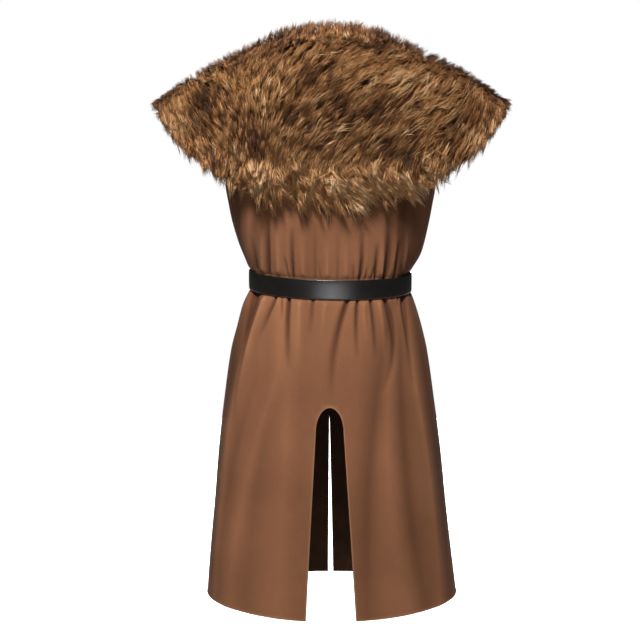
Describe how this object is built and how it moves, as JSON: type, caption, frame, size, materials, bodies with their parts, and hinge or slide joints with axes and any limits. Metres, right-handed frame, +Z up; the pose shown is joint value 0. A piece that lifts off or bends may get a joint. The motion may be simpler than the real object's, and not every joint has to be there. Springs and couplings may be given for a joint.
{
  "type": "medieval tunic",
  "caption": "Worn-shape sleeveless medieval tunic of brown cloth, gathered by a black leather belt, with a wide fur shoulder mantle, a back vent and a front slit.",
  "frame": {"origin": "middle of the neck opening, level with the ends of the shoulder seams at the neck, where the wearer's shoulders hold the garment up", "axes": "+Z up, the wearer faces +Y, +X to the wearer's right; the back of the tunic faces -Y"},
  "size_m": [0.696, 0.3067, 1.1731],
  "materials": {
    "tunic_cloth": "fine brown twill, matt with a slight sheen",
    "mantle_fur": "long shaggy pile, red-brown with golden tips and dark roots",
    "belt_leather": "smooth black, soft gloss",
    "buckle_metal": "dark gunmetal, satin"
  },
  "bodies": {
    "root": {"tunic_back": "tunic_cloth", "tunic_front": "tunic_cloth", "mantle_back": "mantle_fur", "mantle_front": "mantle_fur", "belt_strap": "belt_leather", "belt_keeper": "belt_leather", "belt_buckle_frame": "buckle_metal", "belt_prong": "buckle_metal"}
  },
  "joints": []
}
